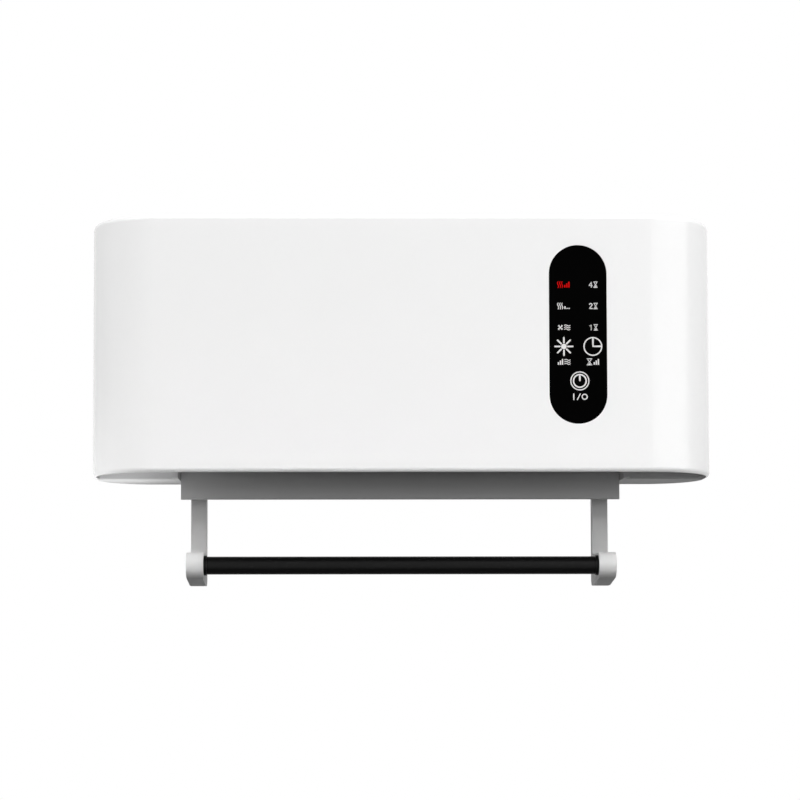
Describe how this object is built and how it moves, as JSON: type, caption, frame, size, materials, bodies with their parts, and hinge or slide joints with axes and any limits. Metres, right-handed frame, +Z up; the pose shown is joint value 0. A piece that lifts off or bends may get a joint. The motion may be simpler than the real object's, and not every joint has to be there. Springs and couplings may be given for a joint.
{
  "type": "bathroom wall fan heater",
  "caption": "Wall fan heater with a rounded white body, a pill-shaped touch panel, a tilting outlet flap underneath and a towel rack below it.",
  "frame": {"origin": "on the wall, at the centre of the wall plate's four screw holes", "axes": "+X to the right along the body, +Y into the wall, +Z up"},
  "size_m": [0.45, 0.105, 0.2604],
  "materials": {
    "white_shell": "gloss moulded ABS",
    "white_rear": "satin moulded ABS",
    "dark_panel": "matt dark grey moulding",
    "black_lens": "polished black lens",
    "grey_flap": "satin grey moulding",
    "arm_white": "satin light grey moulding",
    "bar_black": "satin black powder coat",
    "zinc_steel": "zinc-plated",
    "screw_steel": "plated",
    "screw_black": "black oxide",
    "screw_white": "painted white",
    "duct_steel": "galvanised sheet",
    "fin_aluminium": "bare folded strip",
    "bar_ceramic": "anodised tube round ceramic stones",
    "frame_tan": "heat-resistant moulding",
    "fan_grey": "filled nylon",
    "bronze": "sintered bronze",
    "rubber_black": "soft rubber",
    "board_green": "solder mask",
    "lamp_clear": "clear lamp bodies",
    "baffle_white": "matt white moulding",
    "relay_blue": "moulded case",
    "coil_yellow": "taped coil",
    "capacitor_dark": "sleeved can",
    "terminal_white": "nylon block",
    "filter_grey": "moulded mesh frame"
  },
  "bodies": {
    "heater": {"front_cover": "white_shell", "rear_housing": "white_rear", "bottom_panel": "dark_panel", "inlet_grille": "white_rear", "dust_filter": "filter_grey", "control_lens": "black_lens", "light_baffle": "baffle_white", "control_board": "board_green", "indicator_lamps": "lamp_clear", "touch_pads": "rubber_black", "scroll_case": "duct_steel", "air_tongue": "duct_steel", "fan_bearing": "bronze", "bearing_seat": "rubber_black", "fan_motor": "zinc_steel", "motor_bracket": "zinc_steel", "heating_bars": "bar_ceramic", "heating_fins": "fin_aluminium", "element_frame": "frame_tan", "thermal_cutout": "terminal_white", "outlet_grille": "dark_panel", "power_board": "board_green", "relays": "relay_blue", "transformer": "coil_yellow", "capacitors": "capacitor_dark", "terminal_block": "terminal_white", "cable_grommet": "rubber_black", "wall_plate": "zinc_steel", "towel_arm_left": "arm_white", "towel_arm_right": "arm_white", "towel_bar": "bar_black", "housing_screws": "screw_steel", "panel_screws": "screw_black", "board_screws": "screw_steel", "case_screws": "screw_steel", "power_board_screws": "screw_steel", "arm_screws": "screw_steel", "bar_screws": "screw_white"},
    "fan": {"fan_wheel": "fan_grey", "fan_shafts": "zinc_steel"},
    "flap": {"outlet_flap": "grey_flap"}
  },
  "joints": [
    {"name": "fan_spin", "type": "hinge", "parent": "heater", "child": "fan", "pos_m": [0, -0.046, 0.038], "axis": [1, 0, 0], "continuous": true},
    {"name": "flap_tilt", "type": "hinge", "parent": "heater", "child": "flap", "pos_m": [0, -0.0315, -0.082], "axis": [-1, 0, 0], "range_deg": [0, 90]}
  ]
}
